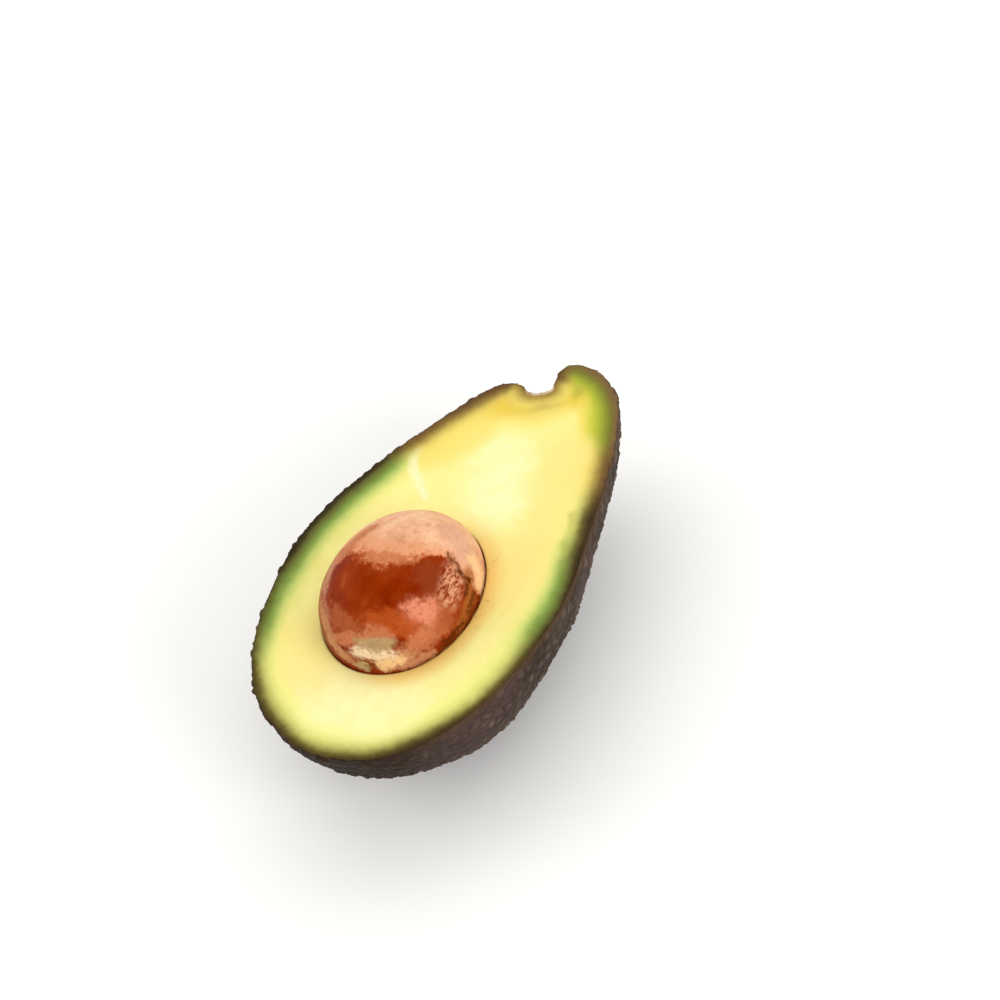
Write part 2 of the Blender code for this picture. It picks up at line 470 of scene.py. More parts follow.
def outward_normals(points, faces, rim):
    """The outward direction at each point of a shell, which along the rim lies in the cut's plane."""
    points = np.array(points)
    corners = np.array(faces)
    a, b, c = (points[corners[:, step]] for step in range(3))
    across = np.cross(b - a, c - a)
    normals = np.zeros_like(points)
    for step in range(3):
        np.add.at(normals, corners[:, step], across)
    lowest = points[:, 2].argmin()
    normals *= -np.sign(normals[lowest, 2])
    loop = points[rim]
    along = np.roll(loop, -1, axis=0) - np.roll(loop, 1, axis=0)
    normals[rim] = np.stack([along[:, 1], -along[:, 0], np.zeros(len(rim))], axis=1)
    return normals / np.linalg.norm(normals, axis=1)[:, None]


def sunken_shell(shares, pitch, depth):
    """The points and faces of a shell that lies the same depth under the skin everywhere."""
    shell = Builder()
    rows = half_shell(shell, shares, pitch)
    rim = rim_of(rows)
    points = np.array(shell.points) - outward_normals(shell.points, shell.faces, rim) * depth
    points[rim, 2] = 0.0
    return points, shell.faces, rim


def add_shell(builder, points, faces, **marks):
    numbers = builder.add(points, **marks)
    builder.faces.extend(tuple(numbers[corner] for corner in face) for face in faces)
    return numbers


def add_object(name, mesh):
    obj = bpy.data.objects.new(name, mesh)
    bpy.context.scene.collection.objects.link(obj)
    return obj


def apply_tree(obj, tree, values):
    """Runs a Geometry Nodes tree on the object, with its named inputs set, and keeps the mesh it makes."""
    modifier = obj.modifiers.new(tree.name, "NODES")
    modifier.node_group = tree
    for item in tree.interface.items_tree:
        if item.item_type == "SOCKET" and item.in_out == "INPUT" and item.name in values:
            modifier[item.identifier] = values[item.name]
    graph = bpy.context.evaluated_depsgraph_get()
    mesh = bpy.data.meshes.new_from_object(obj.evaluated_get(graph))
    obj.modifiers.remove(modifier)
    obj.data = mesh


def keep_in_box(mesh):
    """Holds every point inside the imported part's box, which also keeps the flat spot on the ground."""
    points = np.empty(len(mesh.vertices) * 3, np.float32)
    mesh.vertices.foreach_get("co", points)
    points = points.reshape(-1, 3)
    low, high = (np.array(corner, np.float32) for corner in CAD_BOX)
    mesh.vertices.foreach_set("co", np.clip(points, low, high).ravel())
    mesh.update()


# Geometry Nodes

def new_geometry_tree(name, **sockets):
    """A tree with a geometry input and output and one named number for each size, and its input node."""
    group = bpy.data.node_groups.new(name, "GeometryNodeTree")
    group.interface.new_socket("Geometry", in_out="OUTPUT", socket_type="NodeSocketGeometry")
    group.interface.new_socket("Geometry", in_out="INPUT", socket_type="NodeSocketGeometry")
    for key, value in sockets.items():
        label = key.replace("_", " ")
        made = group.interface.new_socket(label, in_out="INPUT", socket_type="NodeSocketFloat")
        made.default_value = value
    group.interface.new_socket("Material", in_out="INPUT", socket_type="NodeSocketMaterial")
    tree = Tree(group)
    source = group.nodes.new("NodeGroupInput")
    return tree, {socket.name: Term(tree, socket) for socket in source.outputs if socket.name}


def named_value(tree, name, data_type="FLOAT"):
    """What the mesh holds at each point under a name."""
    return tree.node("GeometryNodeInputNamedAttribute", {"data_type": data_type}, {"Name": name})


def finish_tree(tree, geometry, surface):
    """Ends a tree the way that the export needs, with real geometry and its material."""
    real = tree.node("GeometryNodeRealizeInstances", {}, {"Geometry": geometry})
    dressed = tree.node("GeometryNodeSetMaterial", {}, {"Geometry": real, "Material": surface})
    end = tree.tree.nodes.new("NodeGroupOutput")
    tree.tree.links.new(dressed.socket, end.inputs[0])
    return tree.tree


def pebble_tree():
    """Raises irregular pebbles with furrows between them, and a finer grain over them."""
    tree, given = new_geometry_tree(
        "pebbled skin",
        Pebble_Size=PEBBLE_SIZE,
        Pebble_Height=PEBBLE_HEIGHT,
        Shoulder=PEBBLE_SHOULDER,
        Unevenness=PEBBLE_UNEVENNESS,
        Wander=PEBBLE_WANDER,
        Grain_Size=GRAIN_SIZE,
        Grain_Height=GRAIN_HEIGHT,
    )
    place = tree.node("GeometryNodeInputPosition")
    coarse = tree.vector("SCALE", place, scale=given["Pebble Size"] ** -1.0)
    drift = tree.vector("SUBTRACT", tree.noise(coarse, 0.8, output="Color"), (0.5, 0.5, 0.5))
    wandering = tree.vector("ADD", coarse, tree.vector("SCALE", drift, scale=given["Wander"]))
    nearest, shade = tree.cells(wandering, 1.0, output=("Distance", "Color"))
    lump = (tree.cells(wandering, 1.0, "F2") - nearest).step(0.0, given["Shoulder"])
    lowered = tree.node("ShaderNodeSeparateXYZ", {}, {"Vector": shade}, "X") * given["Unevenness"]
    swell = tree.noise(coarse, 0.22, 1.0) - 0.5
    pebble = lump * (1.0 - lowered)
    fine = tree.vector("ADD", tree.vector("SCALE", place, scale=given["Grain Size"] ** -1.0), drift)
    grain = (tree.cells(fine, 1.0, "F2") - tree.cells(fine, 1.0)).step(0.0, 0.7)
    rise = (pebble - 0.5 + swell) * given["Pebble Height"] + (grain - 0.6) * given["Grain Height"]
    outward = named_value(tree, "outward", "FLOAT_VECTOR")
    shift = tree.vector("SCALE", outward, scale=rise * named_value(tree, "relief"))
    moved = tree.node("GeometryNodeSetPosition", {}, {"Geometry": given["Geometry"], "Offset": shift})
    marked = tree.node(
        "GeometryNodeStoreNamedAttribute",
        {"data_type": "FLOAT", "domain": "POINT"},
        {"Geometry": moved, "Name": "pebble", "Value": pebble * 0.8 + grain * 0.2},
    )
    return finish_tree(tree, marked, given["Material"])


# Colours of the cut

def place_from(tree, middle):
    """The place on the object, and the same in millimetres from a middle, whole and in its three parts."""
    place = tree.node("ShaderNodeTexCoord", {}, {}, "Object")
    local = tree.vector("SCALE", tree.vector("SUBTRACT", place, tuple(middle)), scale=1.0 / MM)
    return place, local, *tree.node("ShaderNodeSeparateXYZ", {}, {"Vector": local}, ("X", "Y", "Z"))


def cut_hues(tree, depth):
    """Four hues of the cut from the peel's outer edge inwards: plain, green, golden brown and lime."""
    plain = depth.ramp(
        (0.0, colour(56, 44, 18)),
        (0.07, colour(76, 64, 24)),
        (0.14, colour(102, 94, 38)),
        (0.21, colour(150, 147, 74)),
        (0.29, colour(194, 193, 104)),
        (0.4, colour(222, 224, 126)),
        (0.55, colour(241, 243, 141)),
        (0.85, colour(254, 246, 162)),
    )
    green = depth.ramp(
        (0.0, colour(40, 30, 12)),
        (0.07, colour(62, 54, 22)),
        (0.15, colour(96, 98, 42)),
        (0.24, colour(112, 130, 52)),
        (0.35, colour(138, 166, 74)),
        (0.5, colour(202, 216, 116)),
        (0.66, colour(241, 238, 140)),
        (0.9, colour(253, 244, 158)),
    )
    golden = depth.ramp(
        (0.0, colour(92, 62, 38)),
        (0.08, colour(108, 80, 42)),
        (0.17, colour(132, 104, 48)),
        (0.26, colour(170, 144, 68)),
        (0.36, colour(208, 184, 90)),
        (0.5, colour(236, 214, 106)),
        (0.75, colour(250, 233, 132)),
        (1.0, colour(253, 242, 154)),
    )
    lime = depth.ramp(
        (0.0, colour(118, 90, 60)),
        (0.1, colour(124, 104, 54)),
        (0.18, colour(122, 120, 40)),
        (0.28, colour(142, 150, 44)),
        (0.42, colour(176, 184, 52)),
        (0.56, colour(208, 206, 70)),
        (0.72, colour(240, 222, 98)),
        (1.0, colour(253, 240, 150)),
    )
    return plain, green, golden, lime


# Stretches of the rim where its dark edge is narrower, or with a minus sign wider, than elsewhere: the side
# of the fruit, where the stretch starts and ends along it, and by how much, in millimetres. The change fades
# out around each end, over the rim fade to either side.
RIM_STRETCHES = (
    (-1, -37, -18, 0.7),
    (-1, -16, 13, -0.5),
    (-1, 30, 44, -0.4),
    (1, -60, -46, 0.5),
    (1, -42, -30, -0.6),
    (1, -28, -1, 0.3),
    (1, 6, 22, -1.0),
    (1, 45, 60, -0.7),
)
RIM_FADE = 4.0

# The line under the stem's dimple, around which the dark edge is narrower, in millimetres.
DIMPLE_LINE = ((-7, 40, 0), (-3, 43, 0))
DIMPLE_SHIFT = 1.7


def cut_colour(tree, place, x, y, depth):
    """The colour at a depth in millimetres under the peel's outer edge, on the peel's lip and the flesh."""
    on_side = {-1: x.step(4.0, -4.0), 1: x.step(-4.0, 4.0)}
    green_left = on_side[-1] * y.step(21.0, 13.0) * y.step(-39.0, -28.0)
    green_right = on_side[1] * y.step(15.0, 4.0) * y.step(-16.0, -7.0)
    on_cut = tree.node("ShaderNodeCombineXYZ", {}, {"X": x, "Y": y})
    in_dimple = tree.from_line(on_cut, *DIMPLE_LINE).step(5.6, 3.6) * y.step(45.5, 43.2)
    wobble = (tree.noise(place, 90.0, 2.0) - 0.5) * 1.2 + (tree.noise(place, 420.0, 4.0, 0.6) - 0.5) * 1.1
    shifted = depth + wobble + in_dimple * DIMPLE_SHIFT
    for side, start, end, shift in RIM_STRETCHES:
        along = y.step(start - RIM_FADE, start + RIM_FADE) * y.step(end + RIM_FADE, end - RIM_FADE)
        shifted = shifted + on_side[side] * along * shift
    plain, green, golden, lime = cut_hues(tree, shifted * 0.1)
    greened = tree.blend(green_left + green_right, plain, green)
    gilded = tree.blend((y - on_side[1] * 6.0).step(12.0, 21.0), greened, golden)
    on_lobe = (x + (y - 45.0) * 0.9).step(-2.6, 1.0)
    return tree.blend(on_lobe * y.step(29.0, 37.0), gilded, lime)


# Peel

def peel_finish():
    """Dark purple-brown skin, paler on its pebbles and darker in the furrows, partly with painted highlight and
    shade, darker towards the blossom end with painted shade, olive where it is cut and corky at the stem scar.
    """
    made, shader, tree = new_material(
        "peel finish",
        Specular_IOR_Level=0.14,
        Specular_Tint=(1.0, 0.8, 0.6, 1.0),
    )
    place, _, x, y, z = place_from(tree, FRUIT_PLACE)
    pebble = tree.mark("pebble")
    inside = tree.mark("inside")
    scar = tree.mark("scar")
    speckle = tree.noise(place, 1100.0, 3.0, 0.6)
    patches = tree.noise(place, 150.0, 3.0)
    tints = tree.noise(tree.vector("ADD", place, (0.3, 0.1, 0.2)), 110.0, 2.0)
    # Paler pebble tops and darker furrows: partly the skin's own colour, partly painted highlight on the tops
    # and painted shade in the furrows.
    height = pebble * 0.8 + (speckle - 0.5) * 0.6 + (patches - 0.5) * 0.9 + 0.1
    skin = height.ramp(
        (0.0, colour(42, 30, 23)),
        (0.35, colour(68, 54, 44)),
        (0.7, colour(92, 76, 65)),
        (1.0, colour(112, 96, 82)),
    )
    belly = y.step(-14.0, -26.0) * y.step(-46.0, -38.0)
    plum = tree.blend(tints.step(0.46, 0.7) * 0.25 + belly * 0.2, skin, colour(92, 66, 72))
    olive = tree.blend(tints.step(0.48, 0.32) * 0.15, plum, colour(84, 76, 58))
    pores = tree.cells(place, 380.0)
    dotted = tree.blend(pores.step(0.2, 0.06) * pebble.step(0.4, 0.8) * 0.25, olive, colour(150, 128, 104))
    browned = tree.blend(z.step(-2.6, -0.4) * 0.55, dotted, colour(86, 59, 32))
    # Painted shade: the skin darkens towards the blossom end.
    blossom_end_shade = tree.blend(y.step(-31.0, -46.0) * 0.85, browned, colour(36, 24, 15))
    cut = cut_colour(tree, place, x, y, inside * (PEEL_THICKNESS / MM))
    skinned = tree.blend(inside.step(0.02, 0.16), blossom_end_shade, cut)
    cork = speckle.ramp(
        (0.3, colour(130, 98, 66)),
        (0.5, colour(206, 180, 142)),
        (0.7, colour(246, 230, 200)),
    )
    painted = tree.blend((scar + (speckle - 0.5) * 0.3).step(0.2, 0.6) * inside.step(0.6, 0.2), skinned, cork)
    grain = tree.noise(place, 2200.0, 2.0)
    feed(
        tree, shader,
        Base_Color=painted,
        Roughness=pebble.step(0.1, 0.9, 0.62, 0.46) + (grain - 0.5) * 0.1,
        Normal=bump(tree, grain + speckle, 0.06 * MM, 0.6),
    )
    return made


def skin_relief(points):
    """How much of their height the pebbles keep: none on the flat spot and in the scar that the stem left."""
    lowest = points[points[:, 2].argmin()]
    from_rest = np.linalg.norm(points[:, :2] - lowest[:2], axis=1)
    off_flat = smooth_step(FLAT_SPOT_RADIUS, WORN_RADIUS, from_rest)
    above_flat = smooth_step(0.5 * WORN_LEVEL, WORN_LEVEL, points[:, 2] - lowest[2])
    return np.maximum(off_flat, above_flat) * (1.0 - stem_scar(points))


def stem_scar(points):
    """1 in the middle of the scar that the stem left, fading to 0 at its reach."""
    away = np.linalg.norm(points - np.array(STEM_SCAR), axis=1)
    return smooth_step(STEM_SCAR_REACH, 0.6 * STEM_SCAR_REACH, away)


def build_peel():
    """A closed shell: pebbled skin, a rounded lip along the cut, and a plain lining against the flesh."""
    shares = spaced_shares(SKIN_PITCH * math.sqrt(0.75))
    skin = Builder()
    rim = rim_of(half_shell(skin, shares, SKIN_PITCH))
    points = np.array(skin.points)
    outward = [outward_normals(points, skin.faces, rim)]
    relief = skin_relief(points)
    whole = Builder("relief", "inside", "scar")
    add_shell(whole, points, skin.faces, relief=relief, scar=stem_scar(points))
    lining, lining_faces, lining_rim = sunken_shell(shares, LINING_PITCH, PEEL_THICKNESS)
    edge = points[rim]
    back = lining[lining_rim]
    loops = [rim]
    for ring in range(1, LIP_RINGS):
        share = ring / LIP_RINGS
        lip = edge + (back - edge) * share
        lip[:, 2] += LIP_HEIGHT * math.sin(math.pi * share) ** 2
        fading = relief[rim] * (1.0 - share) ** 2
        loops.append(whole.add(lip, relief=fading, inside=share, scar=stem_scar(lip)))
        outward.append(outward[0][rim])
    numbers = add_shell(whole, lining, lining_faces, inside=1.0)
    outward.append(np.zeros_like(lining))
    loops.append([numbers[corner] for corner in lining_rim])
    for outer, inner in zip(loops, loops[1:]):
        whole.join_loops(outer, inner)
    whole.creases.append(loops[-1])
    mesh = whole.mesh("peel_skin")
    directions = mesh.attributes.new("outward", "FLOAT_VECTOR", "POINT")
    directions.data.foreach_set("vector", np.vstack(outward).ravel())
    mesh.transform(Matrix.Translation(FRUIT_PLACE))
    obj = add_object("peel_skin", mesh)
    apply_tree(obj, pebble_tree(), {"Material": peel_finish()})
    keep_in_box(obj.data)
    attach(obj, "root")
    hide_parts("peel")


# Flesh

def pocket_points(angles, dip, loose):
    """Points of the pocket's wall: angles round its rim from +X, at a dip from 0 there to 1 at the floor."""
    fall = dip * math.pi / 2
    along = np.sin(angles) * math.cos(fall)
    width = (SEED_RADIUS + loose) * (1.0 - SEED_TAPER * along)
    base = SEED_BASE_FLATTENING * smooth_step(SEED_BASE_START, 1.0, -along)
    return np.stack([
        SEED_CENTRE.x + width * np.cos(angles) * math.cos(fall),
        SEED_CENTRE.y + (SEED_HALF_LENGTH + loose) * (along + base),
        np.broadcast_to(-(SEED_RADIUS + loose) * math.sin(fall), np.shape(angles)),
    ], axis=1)


def flesh_relief_tree():
    """Lets the cut face swell and dip a little, with faint strokes where the knife went through."""
    tree, given = new_geometry_tree(
        "cut face",
        Swell=0.22 * MM,
        Swell_Size=16 * MM,
        Stroke=0.035 * MM,
        Stroke_Size=1.6 * MM,
    )
    place = tree.node("GeometryNodeInputPosition")
    swell = tree.noise(tree.vector("SCALE", place, scale=given["Swell Size"] ** -1.0), 1.0, 1.0) - 0.5
    stretched = tree.vector("MULTIPLY", place, (1.0, 0.12, 0.0))
    stroke = tree.noise(tree.vector("SCALE", stretched, scale=given["Stroke Size"] ** -1.0), 1.0, 2.0) - 0.5
    rise = (swell * 2.0 * given["Swell"] + stroke * 2.0 * given["Stroke"]) * named_value(tree, "relief")
    offset = tree.node("ShaderNodeCombineXYZ", {}, {"Z": rise})
    moved = tree.node("GeometryNodeSetPosition", {}, {"Geometry": given["Geometry"], "Offset": offset})
    return finish_tree(tree, moved, given["Material"])


# The hues of the flesh, as they look on a screen, from 0 to 255.
MILKY = (255, 253, 196)
LEMON_PAINTED_LIGHT = (255, 251, 160)
BUTTER = (253, 230, 140)
STRAW = (246, 224, 112)
GOLDEN = (233, 199, 66)
APRICOT = (224, 168, 86)
LEAFY = (160, 168, 64)
IVORY = (255, 253, 220)

# Where the cut face differs from its general colour: the patch's two ends in millimetres across and along the
# fruit, how far it reaches around them, how strong it is, and its hue. One of them is painted light.
FLESH_PATCHES = (
    ((0, -38), (9, -35), 15.5, 0.6, MILKY),
    # Painted light: brightens the flesh left of the seed, where the seed's shade falls.
    ((-21.5, -10), (-17.5, -25), 5, 0.7, LEMON_PAINTED_LIGHT),
    ((-16, -30), (-11, -34), 14, 0.5, BUTTER),
    ((-2, 22), (2, 15), 13, 0.8, MILKY),
    ((9, 29), (14, 16), 12, 0.8, BUTTER),
    ((-17, 20), (-12, 29), 9, 0.7, STRAW),
    ((15, -3), (15, 6), 12, 0.8, BUTTER),
    ((-12, 36), (-8, 37.5), 7.5, 0.9, GOLDEN),
    ((-1, 42.5), (3, 42), 5, 0.7, GOLDEN),
    ((-1, 43.5), (-1, 43.5), 3.6, 0.7, APRICOT),
    ((0.5, 45.5), (3, 43.5), 2.8, 0.6, LEAFY),
    ((18.5, 17.5), (21.5, 11), 2.2, 0.5, LEAFY),
    ((-21.5, 18), (-12, 9.5), 1.8, 0.5, IVORY),
)


def flesh_finish():
    """Pale yellow flesh that turns green and then dark olive at the skin, and orange beside the seed, partly as
    painted shadow and reflection of the seed.
    """
    made, shader, tree = new_material(
        "flesh finish",
        Subsurface_Weight=0.2,
        Subsurface_Radius=(1.0, 0.75, 0.3),
        Subsurface_Scale=1.5 * MM,
        Specular_IOR_Level=0.16,
        Specular_Tint=(1.0, 0.92, 0.6, 1.0),
    )
    place, local, x, y, _ = place_from(tree, FRUIT_PLACE)
    from_skin = tree.mark("from_skin")
    from_seed = tree.mark("from_seed")
    surface = cut_colour(tree, place, x, y, from_skin + PEEL_THICKNESS / MM)
    drift = tree.vector("SCALE", tree.noise(place, 110.0, 2.0, output="Color"), scale=6.0)
    drifting = tree.vector("ADD", local, tree.vector("SUBTRACT", drift, (3.0, 3.0, 3.0)))
    flat = tree.vector("MULTIPLY", drifting, (1.0, 1.0, 0.0))
    for start, end, reach, strength, hue in FLESH_PATCHES:
        patched = tree.patch(surface, flat, (*start, 0), (*end, 0), reach, strength, hue)
        surface = tree.blend(from_skin.step(0.8, 4.5), surface, patched)
    inner = from_skin.step(2.5, 6.5)
    clouds = tree.noise(place, 180.0, 4.0, 0.65)
    clouded = tree.blend(clouds.step(0.44, 0.66) * inner * 0.22, surface, colour(250, 226, 124))
    fibres = tree.noise(tree.vector("MULTIPLY", place, (1.0, 0.1, 1.0)), 500.0, 4.0, 0.6)
    surface = tree.blend(fibres.step(0.5, 0.75) * inner * 0.16, clouded, colour(234, 226, 124))
    # Orange beside the seed, strongest on its right: partly the flesh's own colour, partly painted shadow and
    # reflected light of the seed.
    beside = x.step(-6.0, 12.0, 0.15, 1.0)
    warm_and_seed_shadow = tree.blend(from_seed.step(5.0, 0.2) * beside * 0.8, surface, colour(244, 192, 100))
    specks = tree.noise(place, 700.0, 3.0, 0.6).step(0.58, 0.68)
    right_of_seed = from_seed.step(5.0, 1.0) * x.step(6.0, 12.0) * y.step(-24.0, -14.0)
    specked = tree.blend(specks * right_of_seed * 0.4, warm_and_seed_shadow, colour(206, 156, 66))
    rim = tree.blend(from_seed.step(0.5, 0.05) * 0.6, specked, colour(150, 94, 34))
    grain = tree.noise(place, 1500.0, 3.0)
    feed(
        tree, shader,
        Base_Color=rim,
        Roughness=0.4 + (tree.noise(place, 200.0, 2.0) - 0.5) * 0.2,
        Normal=bump(tree, grain + tree.noise(place, 300.0, 2.0) * 2.0, 0.05 * MM, 0.3),
    )
    return made


def distances_to(loop, points):
    """How far each point is from a closed loop, in millimetres."""
    after = np.roll(loop, -1, axis=0)
    finer = np.concatenate([loop + (after - loop) * step / 5 for step in range(5)])
    tree = KDTree(len(finer))
    for index, point in enumerate(finer):
        tree.insert(point, index)
    tree.balance()
    return np.array([tree.find(point)[2] for point in points]) / MM


def triangle_grid(low, high, pitch):
    """Points in staggered rows over a rectangle of the cut's plane."""
    rows = []
    for number, y in enumerate(np.arange(low[1], high[1], pitch * math.sqrt(0.75))):
        x = np.arange(low[0] + (number % 2) * pitch / 2, high[0], pitch)
        rows.append(np.stack([x, np.full_like(x, y), np.zeros_like(x)], axis=1))
    return np.concatenate(rows)


def face_between(outer, rings):
    """Points and triangles of the flat face between the skin's loop and the rings of the pocket's lip."""
    loops = [outer, *rings]
    grid = triangle_grid(outer.min(axis=0), outer.max(axis=0), FLESH_PITCH)
    toward = (grid - np.array(SEED_CENTRE)) / (SEED_RADIUS, SEED_HALF_LENGTH, 1.0)
    clear = np.minimum(distances_to(outer, grid), distances_to(rings[0], grid)) > 0.6 * FLESH_PITCH / MM
    grid = grid[clear & (np.linalg.norm(toward, axis=1) > 1.0)]
    points = np.concatenate([*loops, grid])
    edges = []
    first = 0
    for loop in loops:
        edges += [(first + step, first + (step + 1) % len(loop)) for step in range(len(loop))]
        first += len(loop)
    pocket = first - len(rings[-1])
    made = delaunay_2d_cdt([Vector(point[:2]) for point in points], edges, [], 1, 1e-9)
    source = [origins[0] for origins in made[3]]
    faces = [tuple(source[corner] for corner in face) for face in made[2]]
    return points, [face for face in faces if min(face) < pocket or max(face) >= first]


def build_flesh():
    """A closed solid: the cut face from the skin to the pocket, the pocket's wall, and the hidden back."""
    shares = spaced_shares(FLESH_PITCH)
    back, back_faces, back_rim = sunken_shell(shares, LINING_PITCH, PEEL_THICKNESS + FLESH_SEAM)
    outer = back[back_rim]
    count = round(2 * math.pi * SEED_RADIUS / FLESH_PITCH)
    angles = np.linspace(0.0, 2 * math.pi, count, endpoint=False)
    rings = []
    for ring in range(POCKET_LIP_RINGS + 1):
        share = 1.0 - ring / POCKET_LIP_RINGS
        rings.append(pocket_points(angles, 0.0, POCKET_GAP + POCKET_LIP * share))
    face, triangles = face_between(outer, rings)
    from_skin = distances_to(outer, face)
    from_seed = distances_to(rings[-1], face)
    into_lip = np.clip(1.0 - from_seed * MM / POCKET_LIP, 0.0, 1.0)
    face[:, 2] = -POCKET_LIP * (1.0 - np.sqrt(1.0 - into_lip ** 2))
    relief = smooth_step(0.0, 3.0, from_skin) * smooth_step(0.3, 3.0, from_seed)
    whole = Builder("from_skin", "from_seed", "relief")
    numbers = add_shell(whole, back, back_faces, from_seed=30.0)
    placed = [numbers[corner] for corner in back_rim]
    whole.creases.append(list(placed))
    new = slice(len(outer), None)
    placed += whole.add(face[new], from_skin=from_skin[new], from_seed=from_seed[new], relief=relief[new])
    whole.faces.extend(tuple(placed[corner] for corner in triangle) for triangle in triangles)
    first = len(outer) + count * POCKET_LIP_RINGS
    above = placed[first:first + count]
    for ring in range(1, POCKET_RINGS):
        points = pocket_points(angles, ring / POCKET_RINGS, POCKET_GAP)
        points[:, 2] = np.minimum(points[:, 2], -POCKET_LIP * 1.2)
        below = whole.add(points, from_skin=10.0)
        whole.join_loops(above, below)
        above = below
    whole.close(above, whole.add(pocket_points(np.zeros(1), 1.0, POCKET_GAP), from_skin=10.0)[0])
    mesh = whole.mesh("flesh_half")
    mesh.transform(Matrix.Translation(FRUIT_PLACE))
    obj = add_object("flesh_half", mesh)
    apply_tree(obj, flesh_relief_tree(), {"Material": flesh_finish()})
    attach(obj, "root")
    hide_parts("flesh")


# Seed

def seed_relief_tree():
    """Shallow lumps and lengthwise furrows on the seed, as under a drying seed coat."""
    tree, given = new_geometry_tree(
        "seed coat",
        Lump=0.16 * MM,
        Lump_Size=9 * MM,
        Furrow=0.05 * MM,
        Furrow_Size=1.8 * MM,
    )
    place = tree.node("GeometryNodeInputPosition")
    lump = tree.noise(tree.vector("SCALE", place, scale=given["Lump Size"] ** -1.0), 1.0, 1.5) - 0.5
    stretched = tree.vector("MULTIPLY", place, (1.0, 0.22, 1.0))
    furrow = tree.noise(tree.vector("SCALE", stretched, scale=given["Furrow Size"] ** -1.0), 1.0, 3.0) - 0.5
    rise = lump * 2.0 * given["Lump"] + furrow * 2.0 * given["Furrow"]
    normal = tree.node("GeometryNodeInputNormal")
    moved = tree.node(
        "GeometryNodeSetPosition",
        {},
        {"Geometry": given["Geometry"], "Offset": tree.vector("SCALE", normal, scale=rise)},
    )
    return finish_tree(tree, moved, given["Material"])


# The seed's hues, as they look on a screen, from 0 to 255.
CRACK_AND_SHADE_LINE = (98, 42, 6)
COFFEE = (122, 76, 36)
CHESTNUT = (142, 60, 30)
UMBER = (172, 98, 42)
CLAY = (182, 95, 54)
RUSSET = (197, 89, 36)
TOAST = (198, 118, 72)
SALMON = (214, 130, 87)
TAN = (210, 146, 103)
KHAKI = (194, 166, 116)
PINK_PAINTED_HIGHLIGHT = (236, 146, 112)
ROSE = (224, 170, 142)
PEACHY = (254, 205, 148)
CREAM = (255, 222, 180)

# Where the seed's coat differs from its rust brown, and where a painted highlight and a painted sheen lie on
# it: the patch's two ends, each by its bearing round the seed from +X and its rise above the cut in degrees,
# how far it reaches around them in millimetres, how strong it is, and its hue.
SEED_PATCHES = (
    ((4, 52), (-2, 42), 5.0, 0.8, CHESTNUT),
    # Painted highlight: a pink patch where the side light's reflection falls on the seed.
    ((-25, 41), (-16, 33), 4.2, 0.9, PINK_PAINTED_HIGHLIGHT),
    ((-35, 32), (-34, 27), 4.0, 0.7, RUSSET),
    ((-31, 20), (-20, 19), 4.2, 0.8, SALMON),
    ((-3, 26), (-14, 17), 3.8, 0.8, CLAY),
    ((-62, 44), (-47, 41), 4.4, 0.7, RUSSET),
    ((-108, 40), (-87, 39), 3.6, 0.85, CLAY),
    # Painted sheen: a tan strip along the seed's left limb.
    ((-165, 42), (-113, 23), 3.6, 0.8, TAN),
    ((-167, 51), (150, 57), 3.0, 0.9, TOAST),
    ((-131, 84), (9, 74), 2.2, 0.8, TOAST),
    ((-105, 24), (-72, 33), 2.2, 0.9, SALMON),
    ((-70, 36), (-55, 33), 3.0, 0.8, SALMON),
    ((-76, 29), (-53, 27), 2.4, 0.8, KHAKI),
    ((-43, 13), (-43, 13), 4.0, 0.9, TAN),
    ((-82, 21), (-55, 17), 2.6, 1.0, CREAM),
    ((-61, 11), (-49, 8), 2.8, 1.0, PEACHY),
    ((-86, 12), (-79, 13), 1.3, 1.0, COFFEE),
    ((-80, 8), (-75, 8), 1.9, 1.0, KHAKI),
    ((-71, 8), (-66, 8), 1.5, 1.0, COFFEE),
    ((-107, 17), (-87, 10), 2.6, 1.0, TAN),
    ((-45, 4), (-29, 4), 2.2, 0.8, TAN),
    ((56, 38), (42, 30), 5.5, 0.8, ROSE),
    ((37, 20), (28, 7), 3.4, 0.8, PEACHY),
    ((25, 22), (12, 10), 2.8, 0.85, UMBER),
    ((9, 11), (-5, 5), 2.6, 0.8, UMBER),
)

# The dark cracks in the seed's coat, in the same way. The last three, low by the cut, are painted shade along
# the line where the seed meets the flesh.
SEED_CRACKS_AND_SHADE = (
    ((31, 42), (22, 31), 1.4, 0.8, CRACK_AND_SHADE_LINE),
    ((22, 31), (21, 21), 1.7, 0.95, CRACK_AND_SHADE_LINE),
    ((21, 21), (11, 18), 1.5, 0.9, CRACK_AND_SHADE_LINE),
    # Painted shade from here on: a dark line low on the seed's side, where it meets the flesh.
    ((17, 10), (6, 6), 1.6, 0.85, CRACK_AND_SHADE_LINE),
    ((0, 6), (-11, 5), 1.6, 0.9, CRACK_AND_SHADE_LINE),
    ((-12, 5), (-19, 3), 1.4, 0.9, CRACK_AND_SHADE_LINE),
)

# Lines on the seed, by the same two angles: amid the flecks beside the cracks, and along the paler base.
FLECKED_LINE = ((18, 34), (4, 30))
PALE_BASE_LINE = ((-113, 0), (-49, 0))


def on_seed(bearing, rise):
    """A place on the seed in millimetres from its middle, by its bearing and its rise in degrees."""
    turn = math.radians(bearing)
    lift = math.radians(rise)
    across = SEED_RADIUS * math.cos(turn) * math.cos(lift)
    along = SEED_HALF_LENGTH * math.sin(turn) * math.cos(lift)
    return tuple(Vector((across, along, SEED_RADIUS * math.sin(lift))) / MM)


def seed_mark(tree, surface, place, mark, grit):
    """Lays one of the seed's patches or cracks over its surface."""
    start, end, *rest = mark
    return tree.patch(surface, place, on_seed(*start), on_seed(*end), *rest, grit)


def from_seed_line(tree, place, line):
    start, end = line
    return tree.from_line(place, on_seed(*start), on_seed(*end))


